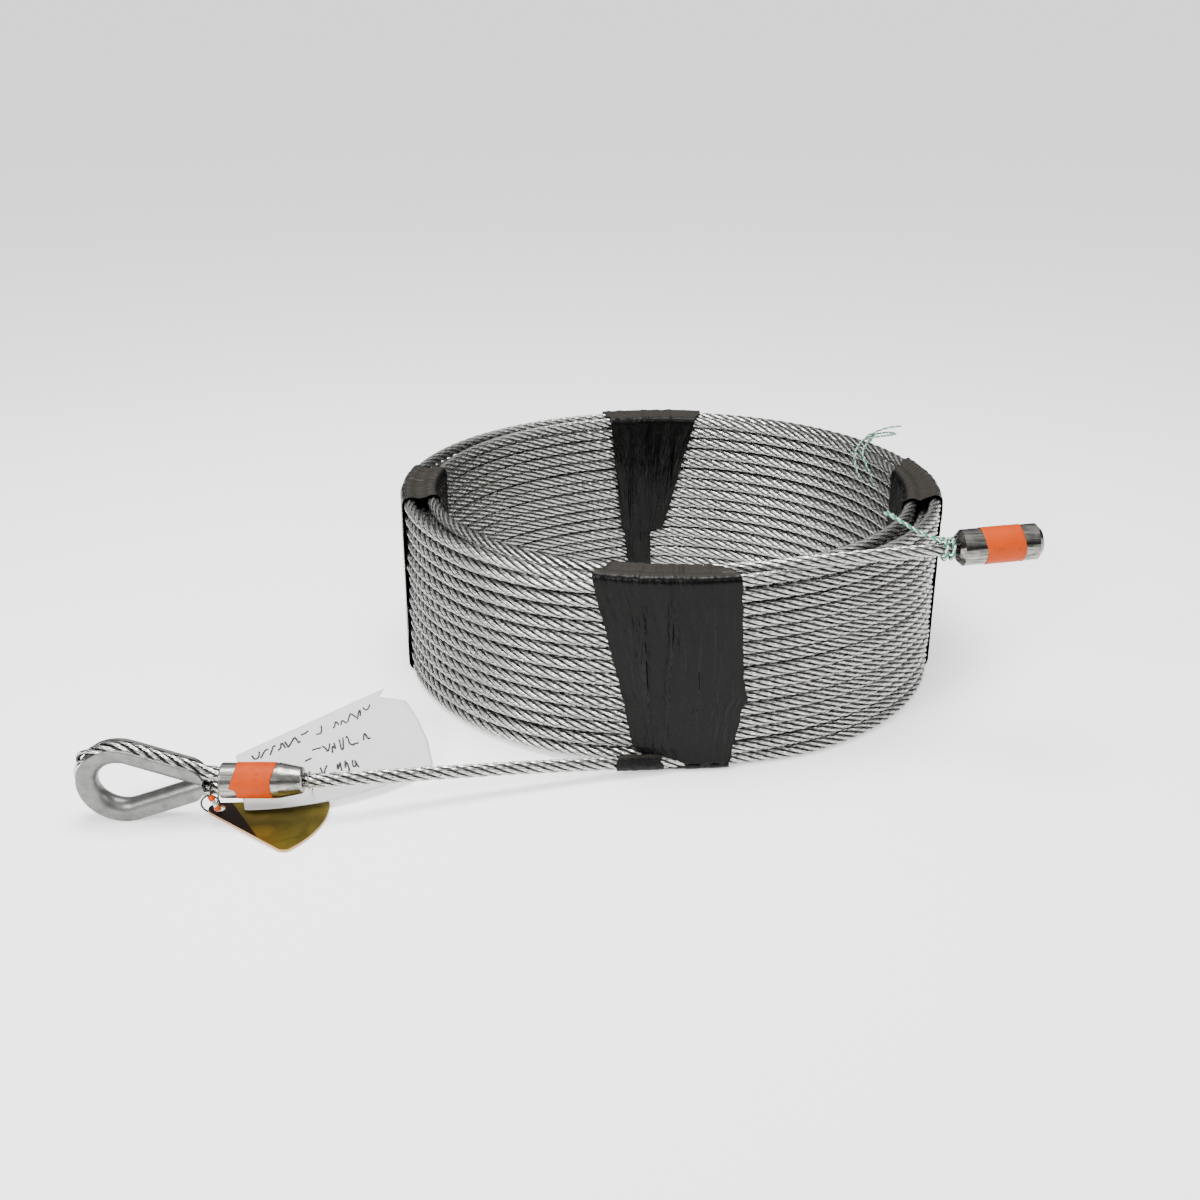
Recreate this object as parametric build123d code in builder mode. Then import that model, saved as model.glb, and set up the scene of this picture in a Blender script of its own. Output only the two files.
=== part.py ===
from build123d import *
from math import asin, atan2, cos, degrees, pi, radians, sin, tan
import os

os.makedirs("parts", exist_ok=True)

# Wire rope assembly: a heavy thimble eye at one end, a long taped coil, a swaged stop
# button at the other end. Millimetres, +Z up. The origin is the centre of the eye's
# pin-bearing nose, and +X runs from the eye along the sleeve towards the coil.

# ---- driving dimensions -------------------------------------------------------------
ROPE_D = 7.94                   # 5/16 in rope
THIMBLE_THICK = 12.7            # across both flanges
THIMBLE_LENGTH = 70.0           # nose to tip
HOLE_R = 13.0                   # round nose of the eye's opening
WEB = 3.0                       # metal between the opening and the rope groove
FLANGE_OVER = 3.6               # flange height above the rope's centre line
FLANGE_EDGE = 0.8               # round on the flange edges
EYE_LEAN = 8.0                  # degrees that the eye leans past upright, towards -Y
TIP_TO_NECK = 25.0              # from that length's end back to where the two legs turn parallel
NECK_X = THIMBLE_LENGTH - TIP_TO_NECK
NECK_BEND_R = 20.0              # of each leg there
LEG_GAP = 1.86                  # between the two legs beyond the neck
TIP_ROUND = 12.0                # round on the thimble's tip
TIP_CUT = 0.7                   # share of that round that lies past the flanges' straight edge

NECK_LENGTH = 9.4               # bare legs between there and the sleeve
SLEEVE_START = NECK_X + NECK_LENGTH
SLEEVE_LENGTH = 45.1
SLEEVE_WALL = 0.93              # thinnest, beside the two legs
SLEEVE_TAPER = 12.8             # length of the tapered end
SLEEVE_TIP_D = 14.4
SLEEVE_MOUTH_ROUND = 1.08
SLEEVE_TIP_ROUND = 1.6
LEG_GRIP = 12.0                 # how far both legs reach into the sleeve
TAIL_STRAND_D = 1.6
TAIL_STRANDS = 6
SLEEVE_TAPE_START = 8.7         # from the sleeve's mouth
SLEEVE_TAPE_WIDTH = 21.9
COLOUR_TAPE = 0.2               # thickness of the coloured tape

COIL_X, COIL_Y = 308.0, 230.5   # the coil's axis
COIL_OUTER_R = 176.7
COIL_WALL = 22.5                # three layers of rope
COIL_HEIGHT = 121.0             # fifteen wraps
BLACK_TAPE = 0.6                # thickness of the black tape's build-up

BUTTON_LENGTH = 48.0
BUTTON_D = 21.0
BUTTON_CHAMFER = 2.6
BUTTON_BORE_DEPTH = 42.0
BUTTON_TAPE_START = 14.0
BUTTON_TAPE_WIDTH = 23.0

TAG_THICK = 1.5
TAG_HOLE_R = 3.2
TAG_NARROW_R = 6.2
TAG_CORNER_R = 5.0
TAG_REACH = 55.5                # from the hole to the wide end's corner centres
TAG_HALF_ANGLE = 23.5
TAG_HEADING = -16.0
TAG_CLEAR = 0.1
TAG_FAN = 9                     # circles that the wide end's edge passes round
RING_R = 5.2                    # centre line of the split ring
RING_WIRE = 1.1
RING_CLEAR = 0.6                # between the ring's lowest point and the floor
RING_BACK, RING_SIDE = 0.9, 5.5     # its centre, back from the thimble's tip and to the far side
LOOP_STEP = 1.3                 # from the thimble's tip to the loop's ferrule
LOOP_WIRE = 1.0
FERRULE_D = 2.4
FERRULE_LENGTH = 4.2
FERRULE_BAND = 1.5
FERRULE_SHIFT = 1.0             # from the middle of the loop's side towards the ring

PAPER_LENGTH, PAPER_WIDTH = 99.0, 63.7
PAPER_THICK = 0.5
PAPER_PLACE = (SLEEVE_START + 11.6, 3.0)      # its near left corner
PAPER_LIFT = 0.8                # over the identity tag that it lies on
PAPER_HEADING = 20.0
PAPER_CURL_R = 58.0             # of the corner that rolls up
PAPER_CURL_TURN = 62.0
PAPER_HOLE_AT = (38.0, 9.0)     # from that corner, along its length and width
PAPER_HOLE_R = 2.5
TAG_WIRE = 0.7
TAG_WIRE_STEP = 3.0             # from the sleeve to the wire's ring
TAG_WIRE_END = 0.8              # of the wire under the paper

TWINE_D = 2.0
NECK_TIE_STEP = 6.0             # from the stop button to the twine's ring
NECK_TIE_ANGLE = -19.0          # where that twine is made fast on the coil, from +X
WRAP_TIE_ANGLE = 35.5           # where the other twine goes over the coil's wall
WRAP_TIE_INSIDE, WRAP_TIE_OUTSIDE = 34.0, 14.0      # how far it hangs down on each side
WRAP_TIE_BEND_R = 3.0

# ---- what follows from them -----------------------------------------------------------
ROPE_R = ROPE_D / 2
FIT = 0.25                      # rope to groove, all round
SLIP = 0.05                     # rope to bore, all round
SPLICE_SLIP = 0.1               # strand ends to the rope and to the sleeve
GAP = 0.3                       # between pieces that move past each other
LEG_SPACING = ROPE_D + LEG_GAP
SLEEVE_D = LEG_SPACING + ROPE_D + 2 * SLEEVE_WALL
GROOVE_R = ROPE_R + FIT
ROPE_BEND_R = HOLE_R + WEB + GROOVE_R
THIMBLE_OUTER_R = ROPE_BEND_R + FLANGE_OVER
EYE = Plane(origin=(0, 0, 0), x_dir=(1, 0, 0),
            z_dir=(0, -cos(radians(EYE_LEAN)), -sin(radians(EYE_LEAN))))
FLOOR = -(THIMBLE_OUTER_R * cos(radians(EYE_LEAN)) + THIMBLE_THICK / 2 * sin(radians(EYE_LEAN)))
NECK = (NECK_X, LEG_SPACING / 2)
LEG_SLOPE = degrees(asin(ROPE_BEND_R / (NECK[0] ** 2 + NECK[1] ** 2) ** 0.5) - atan2(NECK[1], NECK[0]))
LEG_TOP = (ROPE_BEND_R * sin(radians(LEG_SLOPE)), ROPE_BEND_R * cos(radians(LEG_SLOPE)))
THIMBLE_TIP = THIMBLE_LENGTH - THIMBLE_OUTER_R
TIP_END = (THIMBLE_TIP, NECK[1] - (THIMBLE_TIP - NECK_X) * tan(radians(LEG_SLOPE)))
SLEEVE_END = SLEEVE_START + SLEEVE_LENGTH
LEG_END = SLEEVE_START + LEG_GRIP


def flipped(point):
    """The same point of the eye's plane on the other leg."""
    return (point[0], -point[1])


# ---- the eye ------------------------------------------------------------------------
with BuildLine(EYE) as rope_loop:
    FilletPolyline((LEG_END, NECK[1]), NECK, LEG_TOP, radius=NECK_BEND_R)
    ThreePointArc(LEG_TOP, (-ROPE_BEND_R, 0), flipped(LEG_TOP))
    FilletPolyline(flipped(LEG_TOP), flipped(NECK), (LEG_END, -NECK[1]), radius=NECK_BEND_R)

# across the rope at the start of its loop: x is outwards, away from the eye's opening
LOOP_START = Plane(origin=EYE.from_local_coords((LEG_END, NECK[1], 0)), x_dir=EYE.y_dir, z_dir=(-1, 0, 0))

with BuildPart() as thimble:
    with BuildLine(EYE) as web_line:
        Line(TIP_END, LEG_TOP)
        ThreePointArc(LEG_TOP, (-ROPE_BEND_R, 0), flipped(LEG_TOP))
        Line(flipped(LEG_TOP), flipped(TIP_END))
    outward = (web_line.line % 0).cross(EYE.z_dir)
    if outward.dot(EYE.y_dir) < 0:
        outward = outward * -1
    with BuildSketch(Plane(origin=web_line.line @ 0, x_dir=outward, z_dir=web_line.line % 0)) as channel:
        round_centre = THIMBLE_THICK / 2 - WEB - GROOVE_R
        with Locations((round_centre, 0)):
            Circle(THIMBLE_THICK / 2)
            Rectangle(FLANGE_OVER - round_centre, THIMBLE_THICK, align=(Align.MIN, Align.CENTER))
        with Locations((FLANGE_OVER, 0)):
            Rectangle(2 * THIMBLE_THICK, 2 * THIMBLE_THICK,
                      align=(Align.MIN, Align.CENTER), mode=Mode.SUBTRACT)
        Circle(GROOVE_R, mode=Mode.SUBTRACT)
        Rectangle(2 * FLANGE_OVER, 2 * GROOVE_R, align=(Align.MIN, Align.CENTER), mode=Mode.SUBTRACT)
        fillet(channel.vertices().group_by(Axis((0, 0, 0), outward))[-1], FLANGE_EDGE)
    sweep()
    with BuildSketch(EYE.offset(-THIMBLE_THICK)):
        with Locations((THIMBLE_TIP - TIP_ROUND, 0)):
            Circle(TIP_ROUND)
        with Locations((THIMBLE_TIP - TIP_CUT * TIP_ROUND, 0)):
            Rectangle(2 * THIMBLE_LENGTH, 4 * THIMBLE_OUTER_R, align=(Align.MAX, Align.CENTER))
    extrude(amount=2 * THIMBLE_THICK, mode=Mode.INTERSECT)
    with BuildSketch(LOOP_START):
        Circle(GROOVE_R)
    sweep(path=rope_loop.line, mode=Mode.SUBTRACT)
thimble.part.label = "thimble"
export_step(thimble.part, "parts/thimble.step")

with BuildPart() as eye_rope:
    with BuildSketch(LOOP_START):
        Circle(ROPE_R)
    sweep(path=rope_loop.line)
eye_rope.part.label = "eye_rope"
export_step(eye_rope.part, "parts/eye_rope.step")

# ---- the swaged sleeve and what it grips ---------------------------------------------
CROSS = Plane(origin=(SLEEVE_START, 0, 0), x_dir=EYE.y_dir, z_dir=(1, 0, 0))
SPLICE_R = ROPE_R + TAIL_STRAND_D + 2 * SPLICE_SLIP

with BuildPart() as swage_sleeve:
    with BuildSketch(Plane.XZ):
        with BuildLine():
            Polyline((SLEEVE_START, 0), (SLEEVE_START, SLEEVE_D / 2),
                     (SLEEVE_END - SLEEVE_TAPER, SLEEVE_D / 2), (SLEEVE_END, SLEEVE_TIP_D / 2),
                     (SLEEVE_END, 0), close=True)
        make_face()
    revolve(axis=Axis.X)
    with BuildSketch(CROSS):
        with Locations((LEG_SPACING / 2, 0), (-LEG_SPACING / 2, 0)):
            Circle(ROPE_R + SLIP)
        make_hull()
    extrude(amount=LEG_GRIP, mode=Mode.SUBTRACT)
    with BuildSketch(CROSS.offset(LEG_GRIP)):
        Circle(SPLICE_R)
    extrude(amount=SLEEVE_LENGTH - LEG_GRIP - SLEEVE_TAPER / 2, mode=Mode.SUBTRACT)
    with BuildSketch(CROSS.offset(LEG_GRIP)):
        Circle(ROPE_R + SLIP)
    extrude(amount=SLEEVE_LENGTH - LEG_GRIP, mode=Mode.SUBTRACT)
    rims = swage_sleeve.edges().filter_by(GeomType.CIRCLE)
    fillet(rims.filter_by(lambda e: e.radius > SLEEVE_D / 2 - 0.1).group_by(Axis.X)[0], SLEEVE_MOUTH_ROUND)
    rims = swage_sleeve.edges().filter_by(GeomType.CIRCLE)
    tip_rims = rims.filter_by(lambda e: abs(e.radius - SLEEVE_TIP_D / 2) < 0.01)
    fillet(tip_rims.group_by(Axis.X)[-1], SLEEVE_TIP_ROUND)
swage_sleeve.part.label = "swage_sleeve"
export_step(swage_sleeve.part, "parts/swage_sleeve.step")

with BuildPart() as sleeve_rope:
    with BuildSketch(CROSS.offset(LEG_GRIP)):
        Circle(ROPE_R)
    extrude(amount=SLEEVE_LENGTH - LEG_GRIP)
sleeve_rope.part.label = "sleeve_rope"
export_step(sleeve_rope.part, "parts/sleeve_rope.step")

with BuildPart() as strand_tails:
    with BuildSketch(CROSS.offset(LEG_GRIP)):
        with PolarLocations(ROPE_R + SPLICE_SLIP + TAIL_STRAND_D / 2, TAIL_STRANDS):
            Circle(TAIL_STRAND_D / 2)
    extrude(amount=SLEEVE_LENGTH - LEG_GRIP - SLEEVE_TAPER)
strand_tails.part.label = "strand_tails"
export_step(strand_tails.part, "parts/strand_tails.step")

with BuildPart() as sleeve_tape:
    with BuildSketch(CROSS.offset(SLEEVE_TAPE_START)):
        Circle(SLEEVE_D / 2 + COLOUR_TAPE)
        Circle(SLEEVE_D / 2, mode=Mode.SUBTRACT)
    extrude(amount=SLEEVE_TAPE_WIDTH)
sleeve_tape.part.label = "sleeve_tape"
export_step(sleeve_tape.part, "parts/sleeve_tape.step")

# ---- the identity tag, its split ring and the wire loop round the lower leg -------------
LOWER_LEG = EYE.from_local_coords((0, -LEG_SPACING / 2, 0))
LOOP_X = THIMBLE_TIP + LOOP_STEP + FERRULE_D / 2
LOOP_R = ROPE_R + LOOP_WIRE
RING_CENTRE = (THIMBLE_TIP - RING_BACK, RING_SIDE, FLOOR + RING_CLEAR + RING_R + RING_WIRE / 2)
LOOP_FOOT = (LOOP_X, RING_CENTRE[1], RING_CENTRE[2] + LOOP_R)
TAG_TOP_Z = FLOOR + RING_CLEAR + RING_WIRE + GAP + TAG_THICK
TAG_HOLE_X = RING_CENTRE[0] + (TAG_NARROW_R + TAG_HOLE_R) / 2
TAG_FALL = TAG_TOP_Z - TAG_THICK - FLOOR - TAG_CLEAR    # the wide end all but lies on the floor
TAG_SLOPE = degrees(asin(TAG_FALL / (TAG_REACH + TAG_CORNER_R)))

LOOP_PLANE = Plane(origin=(LOOP_X, 0, 0), x_dir=(0, 1, 0), z_dir=(1, 0, 0))
LOOP_HEAD_YZ = (LOWER_LEG.Y, LOWER_LEG.Z)
LOOP_FOOT_YZ = (LOOP_FOOT[1], LOOP_FOOT[2])
loop_run = Vector(LOOP_FOOT_YZ[0] - LOOP_HEAD_YZ[0], LOOP_FOOT_YZ[1] - LOOP_HEAD_YZ[1])
loop_side = Vector(-loop_run.Y, loop_run.X).normalized() * LOOP_R


def loop_point(end, side, along=0.0):
    """A point beside one end of the wire loop, in the loop's own plane."""
    step = loop_run.normalized() * along
    return (end[0] + side * loop_side.X + step.X, end[1] + side * loop_side.Y + step.Y)


with BuildPart() as tag_wire_loop:
    with BuildLine(LOOP_PLANE) as loop_line:
        Line(loop_point(LOOP_HEAD_YZ, -1), loop_point(LOOP_FOOT_YZ, -1))
        ThreePointArc(loop_point(LOOP_FOOT_YZ, -1), loop_point(LOOP_FOOT_YZ, 0, LOOP_R),
                      loop_point(LOOP_FOOT_YZ, 1))
        Line(loop_point(LOOP_FOOT_YZ, 1), loop_point(LOOP_HEAD_YZ, 1))
        ThreePointArc(loop_point(LOOP_HEAD_YZ, 1), loop_point(LOOP_HEAD_YZ, 0, -LOOP_R),
                      loop_point(LOOP_HEAD_YZ, -1))
    with BuildSketch(Plane(origin=loop_line.line @ 0, z_dir=loop_line.line % 0)):
        Circle(LOOP_WIRE / 2)
    sweep(path=loop_line.line)
tag_wire_loop.part.label = "tag_wire_loop"
export_step(tag_wire_loop.part, "parts/tag_wire_loop.step")

front_side = -1 if loop_side.X > 0 else 1
ferrule_mid = loop_point(LOOP_HEAD_YZ, front_side, loop_run.length / 2 + FERRULE_SHIFT)
FERRULE = Plane(origin=LOOP_PLANE.from_local_coords((ferrule_mid[0], ferrule_mid[1], 0)),
                x_dir=(1, 0, 0), z_dir=(0, loop_run.X, loop_run.Y))

with BuildPart() as wire_ferrule:
    with BuildSketch(FERRULE):
        Circle(FERRULE_D / 2)
        Circle(LOOP_WIRE / 2, mode=Mode.SUBTRACT)
    extrude(amount=FERRULE_LENGTH / 2, both=True)
wire_ferrule.part.label = "wire_ferrule"
export_step(wire_ferrule.part, "parts/wire_ferrule.step")

with BuildPart() as ferrule_bands:
    for side in (-1, 1):
        with BuildSketch(FERRULE.offset(side * (FERRULE_LENGTH + FERRULE_BAND) / 2)):
            Circle(FERRULE_D / 2)
            Circle(LOOP_WIRE / 2, mode=Mode.SUBTRACT)
        extrude(amount=FERRULE_BAND / 2, both=True)
ferrule_bands.part.label = "ferrule_bands"
export_step(ferrule_bands.part, "parts/ferrule_bands.step")

with BuildPart() as split_ring:
    with BuildSketch(Plane(origin=RING_CENTRE, x_dir=(1, 0, 0), z_dir=(0, 0, 1))):
        with Locations((RING_R, 0)):
            Circle(RING_WIRE / 2)
    revolve(axis=Axis(RING_CENTRE, (0, 1, 0)))
split_ring.part.label = "split_ring"
export_step(split_ring.part, "parts/split_ring.step")

TAG_AXIS = Vector(cos(radians(TAG_HEADING)) * cos(radians(TAG_SLOPE)),
                  sin(radians(TAG_HEADING)) * cos(radians(TAG_SLOPE)), -sin(radians(TAG_SLOPE)))
TAG_FACE = Plane(origin=(TAG_HOLE_X, RING_CENTRE[1], TAG_TOP_Z), x_dir=TAG_AXIS,
                 z_dir=TAG_AXIS.cross(Vector(-sin(radians(TAG_HEADING)), cos(radians(TAG_HEADING)), 0)))
with BuildPart() as id_tag:
    with BuildSketch(TAG_FACE):
        Circle(TAG_NARROW_R)
        with PolarLocations(TAG_REACH, TAG_FAN, start_angle=-TAG_HALF_ANGLE,
                            angular_range=2 * TAG_HALF_ANGLE, endpoint=True):
            Circle(TAG_CORNER_R)
        make_hull()
        Circle(TAG_HOLE_R, mode=Mode.SUBTRACT)
    extrude(amount=-TAG_THICK)
id_tag.part.label = "id_tag"
export_step(id_tag.part, "parts/id_tag.step")

# ---- the paper tag and its wire --------------------------------------------------------
PAPER = Plane(origin=(*PAPER_PLACE, TAG_TOP_Z + PAPER_LIFT), z_dir=(0, 0, 1),
              x_dir=(cos(radians(PAPER_HEADING)), sin(radians(PAPER_HEADING)), 0))
fold = atan2(-PAPER_WIDTH, PAPER_LENGTH)         # the corner rolls up beyond this diagonal
FOLD_WAY = PAPER.from_local_coords((cos(fold), sin(fold), 0)) - PAPER.origin
CURL = Plane(origin=PAPER.from_local_coords((PAPER_LENGTH, 0, 0)), z_dir=FOLD_WAY,
             x_dir=PAPER.from_local_coords((-sin(fold), cos(fold), 0)) - PAPER.origin)
PAPER_HOLE = PAPER.from_local_coords((*PAPER_HOLE_AT, 0))
with BuildPart() as paper_tag:
    with BuildSketch(CURL):
        with BuildLine():
            turn = radians(PAPER_CURL_TURN)
            inner, outer = PAPER_CURL_R - PAPER_THICK, PAPER_CURL_R
            under_end = (outer * sin(turn), outer * (1 - cos(turn)))
            over_end = (inner * sin(turn), outer - inner * cos(turn))
            Line((-2 * PAPER_WIDTH, 0), (0, 0))
            ThreePointArc((0, 0), (outer * sin(turn / 2), outer * (1 - cos(turn / 2))), under_end)
            Line(under_end, over_end)
            ThreePointArc(over_end, (inner * sin(turn / 2), outer - inner * cos(turn / 2)), (0, PAPER_THICK))
            Polyline((0, PAPER_THICK), (-2 * PAPER_WIDTH, PAPER_THICK), (-2 * PAPER_WIDTH, 0))
        make_face()
    extrude(amount=2 * PAPER_LENGTH, both=True)
    with BuildSketch(PAPER.offset(-1)):
        Rectangle(PAPER_LENGTH, PAPER_WIDTH, align=(Align.MIN, Align.MIN))
    extrude(amount=2 * PAPER_CURL_R, mode=Mode.INTERSECT)
    with BuildSketch(PAPER):
        with Locations(PAPER_HOLE_AT):
            Circle(PAPER_HOLE_R)
    extrude(amount=PAPER_THICK, mode=Mode.SUBTRACT)
paper_tag.part.label = "paper_tag"
export_step(paper_tag.part, "parts/paper_tag.step")

# ---- the free rope: a lead, a coil and a tail -----------------------------------------
LEAD = [(SLEEVE_END, 0.0, 0.0), (115.0, 0.0, 0.0), (138.0, 7.5, -2.4), (170.0, 18.5, -5.8),
        (208.0, 30.3, -9.6), (250.0, 42.6, -13.9), (295.0, 53.8, -17.9),
        (336.0, 60.6, FLOOR + BLACK_TAPE + ROPE_R)]
TAIL = [(344.0, 74.5, 94.9), (380.0, 71.4, 100.4), (422.7, 76.9, 102.9), (465.0, 80.2, 105.6)]


def rope_radii(route):
    """Each arc of a rope is as large as its two runs allow."""
    radii = []
    for a, b, c in zip(route, route[1:], route[2:]):
        run_in, run_out = Vector(*b) - Vector(*a), Vector(*c) - Vector(*b)
        half_turn = radians(run_in.get_angle(run_out)) / 2
        radii.append(0.45 * min(run_in.length, run_out.length) / tan(half_turn))
    return radii


def rope_plane(route):
    """Across the rope at the start of its route."""
    return Plane(origin=route[0], z_dir=Vector(*route[1]) - Vector(*route[0]))


with BuildPart() as rope_lead:
    with BuildLine() as lead_line:
        FilletPolyline(*LEAD, radius=rope_radii(LEAD))
    with BuildSketch(rope_plane(LEAD)):
        Circle(ROPE_R)
    sweep(path=lead_line.line)
rope_lead.part.label = "rope_lead"
export_step(rope_lead.part, "parts/rope_lead.step")

with BuildPart() as rope_tail:
    with BuildLine() as tail_line:
        FilletPolyline(*TAIL, radius=rope_radii(TAIL))
    with BuildSketch(rope_plane(TAIL)):
        Circle(ROPE_R)
    sweep(path=tail_line.line)
rope_tail.part.label = "rope_tail"
export_step(rope_tail.part, "parts/rope_tail.step")

for name, rope, line, route in (("lead", rope_lead, lead_line, LEAD), ("tail", rope_tail, tail_line, TAIL)):
    length = line.wires()[0].length
    ideal = length * pi * ROPE_R ** 2
    print(name, "radii", [round(r) for r in rope_radii(route)], "length", round(length, 1),
          "volume over section x length", round(rope.part.volume / ideal, 4))

COIL_BASE = Plane(origin=(COIL_X, COIL_Y, FLOOR + BLACK_TAPE))
with BuildPart() as rope_coil:
    with BuildSketch(COIL_BASE):
        Circle(COIL_OUTER_R)
        Circle(COIL_OUTER_R - COIL_WALL, mode=Mode.SUBTRACT)
    extrude(amount=COIL_HEIGHT)
rope_coil.part.label = "rope_coil"
export_step(rope_coil.part, "parts/rope_coil.step")

# ---- four bands of black tape round the coil -------------------------------------------
TAPES = {"front_tape": (-92.0, 72.0), "right_tape": (0.5, 80.0),
         "back_tape": (91.5, 70.0), "left_tape": (181.6, 74.0)}
for name, (angle, width) in TAPES.items():
    with BuildPart() as coil_tape:
        with BuildSketch(COIL_BASE.offset(-BLACK_TAPE)):
            Circle(COIL_OUTER_R + BLACK_TAPE)
            Circle(COIL_OUTER_R - COIL_WALL - BLACK_TAPE, mode=Mode.SUBTRACT)
            with PolarLocations(COIL_OUTER_R - COIL_WALL / 2, 1, start_angle=angle):
                Rectangle(3 * COIL_WALL, width, mode=Mode.INTERSECT)
        extrude(amount=COIL_HEIGHT + 2 * BLACK_TAPE)
        with BuildSketch(COIL_BASE):
            Circle(COIL_OUTER_R)
            Circle(COIL_OUTER_R - COIL_WALL, mode=Mode.SUBTRACT)
        extrude(amount=COIL_HEIGHT, mode=Mode.SUBTRACT)
    coil_tape.part.label = name
    export_step(coil_tape.part, f"parts/{name}.step")

# ---- the stop button at the free end ---------------------------------------------------
BUTTON_AXIS = (Vector(*TAIL[-1]) - Vector(*TAIL[-2])).normalized()
BUTTON = Plane(origin=TAIL[-1], z_dir=BUTTON_AXIS)
with BuildPart() as stop_button:
    with BuildSketch(BUTTON):
        Circle(BUTTON_D / 2)
    extrude(amount=BUTTON_LENGTH)
    ends = stop_button.edges().filter_by(GeomType.CIRCLE).sort_by(Axis.X)
    chamfer([ends[0], ends[-1]], BUTTON_CHAMFER)
    with BuildSketch(BUTTON):
        Circle(ROPE_R + SLIP)
    extrude(amount=BUTTON_BORE_DEPTH, mode=Mode.SUBTRACT)
stop_button.part.label = "stop_button"
export_step(stop_button.part, "parts/stop_button.step")

with BuildPart() as button_rope_end:
    with BuildSketch(BUTTON):
        Circle(ROPE_R)
    extrude(amount=BUTTON_BORE_DEPTH - 0.5)
button_rope_end.part.label = "button_rope_end"
export_step(button_rope_end.part, "parts/button_rope_end.step")

with BuildPart() as button_tape:
    with BuildSketch(BUTTON.offset(BUTTON_TAPE_START)):
        Circle(BUTTON_D / 2 + COLOUR_TAPE)
        Circle(BUTTON_D / 2, mode=Mode.SUBTRACT)
    extrude(amount=BUTTON_TAPE_WIDTH)
button_tape.part.label = "button_tape"
export_step(button_tape.part, "parts/button_tape.step")

# ---- the paper tag's wire, and the two pieces of twine -----------------------------------
wire_eye = Vector(*LEAD[0]) + Vector(TAG_WIRE_STEP, 0, 0)
WIRE_R = ROPE_R + GAP + TAG_WIRE / 2
with BuildPart() as paper_tag_wire:
    with BuildSketch(Plane(origin=wire_eye, x_dir=(0, 0, 1), z_dir=(0, 1, 0))):
        with Locations((WIRE_R, 0)):
            Circle(TAG_WIRE / 2)
    revolve(axis=Axis(wire_eye, (1, 0, 0)))
    reach = (PAPER_HOLE - wire_eye).normalized()
    start = wire_eye + reach * WIRE_R
    with BuildSketch(Plane(origin=start, z_dir=reach)):
        Circle(TAG_WIRE / 2)
    extrude(amount=(PAPER_HOLE - start).length + TAG_WIRE_END)
paper_tag_wire.part.label = "paper_tag_wire"
export_step(paper_tag_wire.part, "parts/paper_tag_wire.step")


def coil_plane(angle):
    """The upright plane through the coil's axis at that angle: its x is outwards and its y is up."""
    turn = radians(angle)
    return Plane(origin=(COIL_X, COIL_Y, 0), x_dir=(cos(turn), sin(turn), 0),
                 z_dir=(sin(turn), -cos(turn), 0))


neck = Vector(*TAIL[-1]) - BUTTON_AXIS * NECK_TIE_STEP
NECK_TIE_R = ROPE_R + TWINE_D / 2 + SLIP
COIL_TOP = FLOOR + BLACK_TAPE + COIL_HEIGHT
COIL_INNER_R = COIL_OUTER_R - COIL_WALL
anchor = coil_plane(NECK_TIE_ANGLE).from_local_coords((COIL_INNER_R, COIL_TOP + TWINE_D, 0))
with BuildPart() as neck_twine:
    # one turn round the rope, and beside it the stretch that runs to the coil
    with BuildSketch(Plane(origin=neck, x_dir=(0, 0, 1), z_dir=(0, 1, 0))):
        with Locations((NECK_TIE_R, 0)):
            Circle(TWINE_D / 2)
    revolve(axis=Axis(neck, BUTTON_AXIS))
    to_anchor = anchor - neck
    side = (to_anchor - BUTTON_AXIS * to_anchor.dot(BUTTON_AXIS)).normalized()
    stretch_start = neck + side * (NECK_TIE_R + TWINE_D + SLIP)
    with BuildSketch(Plane(origin=stretch_start, z_dir=anchor - stretch_start)):
        Circle(TWINE_D / 2)
    extrude(amount=(anchor - stretch_start).length)
neck_twine.part.label = "neck_twine"
export_step(neck_twine.part, "parts/neck_twine.step")

with BuildPart() as wrap_twine:
    inside, outside, over = COIL_INNER_R - TWINE_D, COIL_OUTER_R + TWINE_D, COIL_TOP + TWINE_D
    with BuildLine(coil_plane(WRAP_TIE_ANGLE)) as tie_line:
        FilletPolyline((inside, COIL_TOP - WRAP_TIE_INSIDE), (inside, over), (outside, over),
                       (outside, COIL_TOP - WRAP_TIE_OUTSIDE), radius=WRAP_TIE_BEND_R)
    with BuildSketch(Plane(origin=tie_line.line @ 0, z_dir=tie_line.line % 0)):
        Circle(TWINE_D / 2)
    sweep(path=tie_line.line)
wrap_twine.part.label = "wrap_twine"
export_step(wrap_twine.part, "parts/wrap_twine.step")
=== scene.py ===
"""Looks of the wire rope assembly: thimble eye, swaged sleeve, taped coil and stop button.

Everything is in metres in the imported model's own frame: the origin is the centre of the
eye's nose, +X runs from the eye to the coil and +Z is up.
"""
import math
import random

import bpy
import numpy as np
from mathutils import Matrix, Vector, noise


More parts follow.
